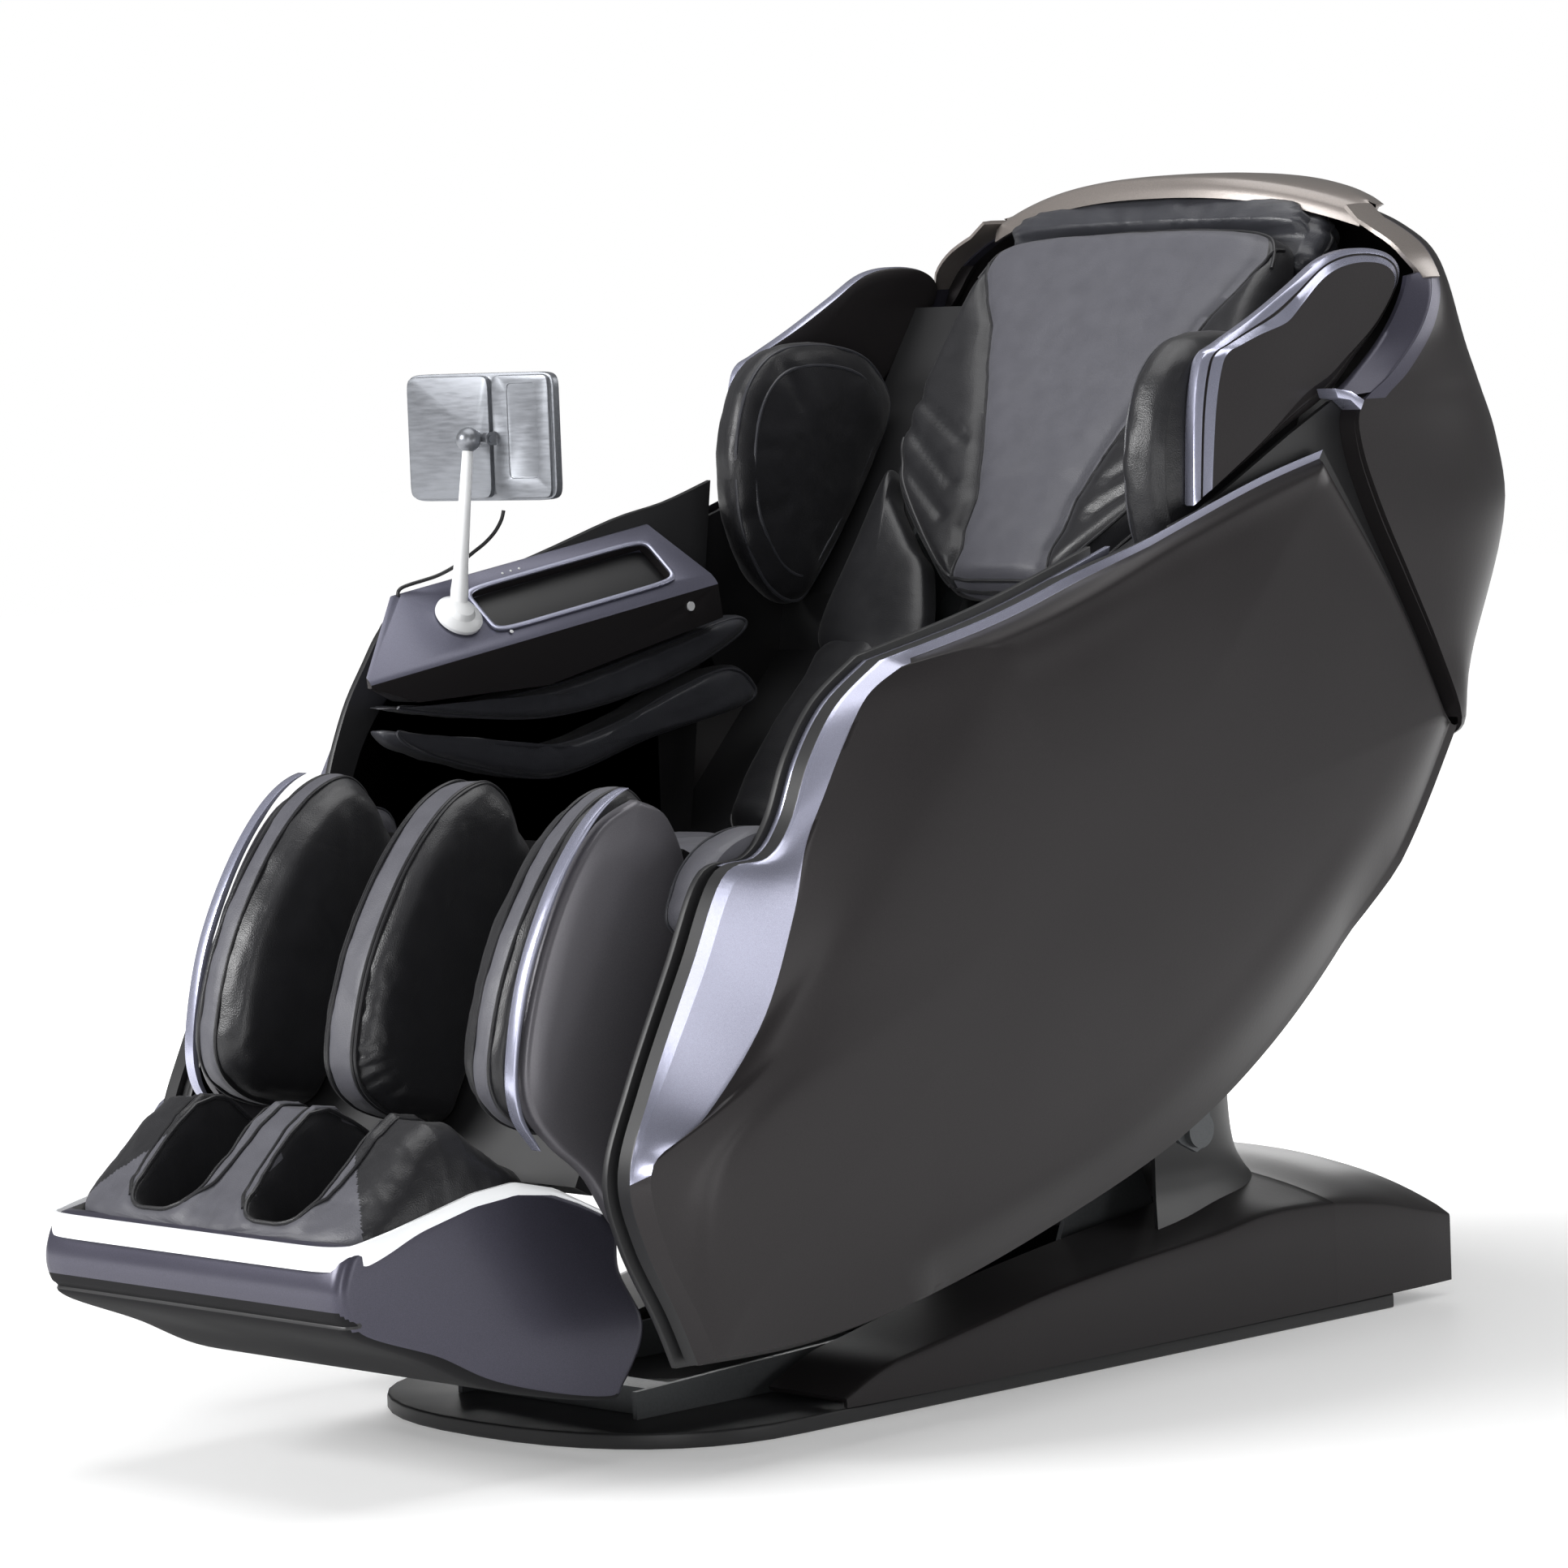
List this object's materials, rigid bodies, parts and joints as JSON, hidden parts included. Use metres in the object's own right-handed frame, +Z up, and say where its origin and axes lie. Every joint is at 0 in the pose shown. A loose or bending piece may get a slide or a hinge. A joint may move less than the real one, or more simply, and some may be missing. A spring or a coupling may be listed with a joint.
{
  "type": "massage chair",
  "caption": "Reclining massage chair with a tilting seat shell, hinged backrest, lifting leg rest with sliding foot rest, padded arm slots and a tablet on a stand.",
  "frame": {"origin": "on the floor, in the middle of the width, under the front half of the base plate", "axes": "+Z up; the chair faces -Y; +X is the sitter's left"},
  "size_m": [0.7946, 1.685, 1.231],
  "materials": {
    "charcoal_shell": "satin metallic paint",
    "silver_trim": "satin silver lacquer",
    "lavender_shell": "satin metallic paint",
    "black_plastic": "fine texture",
    "pearl_shell": "pearl lacquer",
    "grey_leather": "smooth",
    "black_leather": "smooth",
    "dark_leather": "smooth",
    "steel_frame": "powder coat",
    "bright_steel": "ground",
    "arm_alloy": "cast",
    "silver_plastic": "brushed silver lacquer",
    "light_strip": "translucent white",
    "roller_rubber": "matt",
    "wheel_rubber": "matt",
    "cable_rubber": "matt"
  },
  "bodies": {
    "base": {"base_pan": "black_plastic", "base_cover": "charcoal_shell", "base_frame": "steel_frame", "power_inlet": "black_plastic", "tilt_actuator": "steel_frame"},
    "switch": {"power_switch": "black_plastic"},
    "left_wheel": {"wheel_left": "wheel_rubber"},
    "right_wheel": {"wheel_right": "wheel_rubber"},
    "tilt_push_rod": {"tilt_rod": "bright_steel"},
    "seat": {"seat_frame": "steel_frame", "seat_cushion": "grey_leather", "side_panel_left": "charcoal_shell", "side_panel_right": "charcoal_shell", "panel_rims": "silver_trim", "inner_liner_left": "black_plastic", "inner_liner_right": "black_plastic", "armrest_left": "lavender_shell", "armrest_right": "lavender_shell", "arm_pad_left": "dark_leather", "arm_pad_right": "dark_leather", "arm_cuff_left": "black_leather", "arm_cuff_right": "black_leather", "arm_front_pads": "grey_leather", "lower_shell": "charcoal_shell", "tablet_stand": "arm_alloy", "tablet_cable": "cable_rubber", "recline_actuator": "steel_frame", "leg_actuator": "steel_frame"},
    "recline_push_rod": {"recline_rod": "bright_steel"},
    "leg_push_rod": {"leg_rod": "bright_steel"},
    "backrest": {"back_frame": "steel_frame", "rear_shell": "charcoal_shell", "hood": "pearl_shell", "back_liner": "black_plastic", "wing_left": "lavender_shell", "wing_right": "lavender_shell", "wing_pad_left": "black_leather", "wing_pad_right": "black_leather", "back_pad": "dark_leather", "head_pad": "grey_leather", "head_pillow": "dark_leather"},
    "carriage": {"massage_carriage": "arm_alloy"},
    "left_kneading_arm": {"kneading_arm_left": "arm_alloy"},
    "right_kneading_arm": {"kneading_arm_right": "arm_alloy"},
    "left_roller": {"roller_left": "roller_rubber"},
    "right_roller": {"roller_right": "roller_rubber"},
    "leg_rest": {"calf_frame": "black_plastic", "calf_cover_left": "lavender_shell", "calf_cover_right": "lavender_shell", "calf_trims": "silver_trim", "calf_pad_left": "black_leather", "calf_pad_centre": "dark_leather", "calf_pad_right": "black_leather"},
    "foot_rest": {"foot_slide": "bright_steel", "foot_housing": "lavender_shell", "foot_light_strip": "light_strip", "foot_pad": "grey_leather"},
    "tablet_neck": {"tablet_ball": "arm_alloy"},
    "tablet_unit": {"tablet": "silver_plastic"},
    "key": {"quick_key": "silver_plastic"}
  },
  "joints": [
    {"name": "zero_gravity_tilt", "type": "hinge", "parent": "base", "child": "seat", "pos_m": [0, 0.33, 0.23], "axis": [-1, 0, 0], "range_deg": [0, 10]},
    {"name": "tilt_rod_slide", "type": "slide", "parent": "base", "child": "tilt_push_rod", "axis": [0, 0, 1], "range_m": [0, 0.06135]},
    {"name": "recline", "type": "hinge", "parent": "seat", "child": "backrest", "pos_m": [0, 0.2, 0.35], "axis": [-1, 0, 0], "range_deg": [0, 28]},
    {"name": "recline_rod_slide", "type": "slide", "parent": "seat", "child": "recline_push_rod", "axis": [0, -1, 0], "range_m": [0, 0.05246]},
    {"name": "leg_lift", "type": "hinge", "parent": "seat", "child": "leg_rest", "pos_m": [0, -0.35, 0.52], "axis": [-1, 0, 0], "range_deg": [0, 55]},
    {"name": "leg_rod_slide", "type": "slide", "parent": "seat", "child": "leg_push_rod", "axis": [0, -1, 0], "range_m": [0, 0.0886]},
    {"name": "foot_extend", "type": "slide", "parent": "leg_rest", "child": "foot_rest", "axis": [0, -0.454, -0.891], "range_m": [0, 0.144]},
    {"name": "carriage_travel", "type": "slide", "parent": "backrest", "child": "carriage", "axis": [0, 0.6157, 0.788], "range_m": [0, 0.4]},
    {"name": "left_knead", "type": "hinge", "parent": "carriage", "child": "left_kneading_arm", "pos_m": [0.058, 0.28955, 0.59845], "axis": [-1, 0, 0], "range_deg": [-8, 8]},
    {"name": "right_knead", "type": "hinge", "parent": "carriage", "child": "right_kneading_arm", "pos_m": [-0.058, 0.28955, 0.59845], "axis": [-1, 0, 0], "range_deg": [-8, 8]},
    {"name": "left_roller_spin", "type": "hinge", "parent": "left_kneading_arm", "child": "left_roller", "pos_m": [0.058, 0.32304, 0.63319], "axis": [-1, 0, 0], "continuous": true},
    {"name": "right_roller_spin", "type": "hinge", "parent": "right_kneading_arm", "child": "right_roller", "pos_m": [-0.058, 0.32304, 0.63319], "axis": [-1, 0, 0], "continuous": true},
    {"name": "tablet_pan", "type": "hinge", "parent": "seat", "child": "tablet_neck", "pos_m": [-0.28253, -0.16308, 0.97764], "axis": [0, 0, 1], "range_deg": [-25, 25]},
    {"name": "tablet_tilt", "type": "hinge", "parent": "tablet_neck", "child": "tablet_unit", "pos_m": [-0.2846, -0.1452, 0.97764], "axis": [0.9934, 0.1149, 0], "range_deg": [-15, 15]},
    {"name": "quick_key_press", "type": "slide", "parent": "seat", "child": "key", "axis": [-1, 0, 0], "range_m": [0, 0.001], "stiffness_N_per_m": 600},
    {"name": "power_rocker", "type": "hinge", "parent": "base", "child": "switch", "pos_m": [-0.144, 0.724, 0.058], "axis": [1, 0, 0], "range_deg": [0, 12]},
    {"name": "left_wheel_spin", "type": "hinge", "parent": "base", "child": "left_wheel", "pos_m": [0.19, 0.64, 0.033], "axis": [-1, 0, 0], "continuous": true},
    {"name": "right_wheel_spin", "type": "hinge", "parent": "base", "child": "right_wheel", "pos_m": [-0.19, 0.64, 0.033], "axis": [-1, 0, 0], "continuous": true}
  ],
  "couplings": [
    {"joint": "tilt_rod_slide", "follows": "zero_gravity_tilt", "m_per_rad": 0.35089},
    {"joint": "recline_rod_slide", "follows": "recline", "m_per_rad": 0.10714},
    {"joint": "leg_rod_slide", "follows": "leg_lift", "m_per_rad": 0.09219},
    {"joint": "foot_extend", "follows": "leg_lift", "m_per_rad": 0.15},
    {"joint": "right_knead", "follows": "left_knead", "ratio": -1}
  ]
}
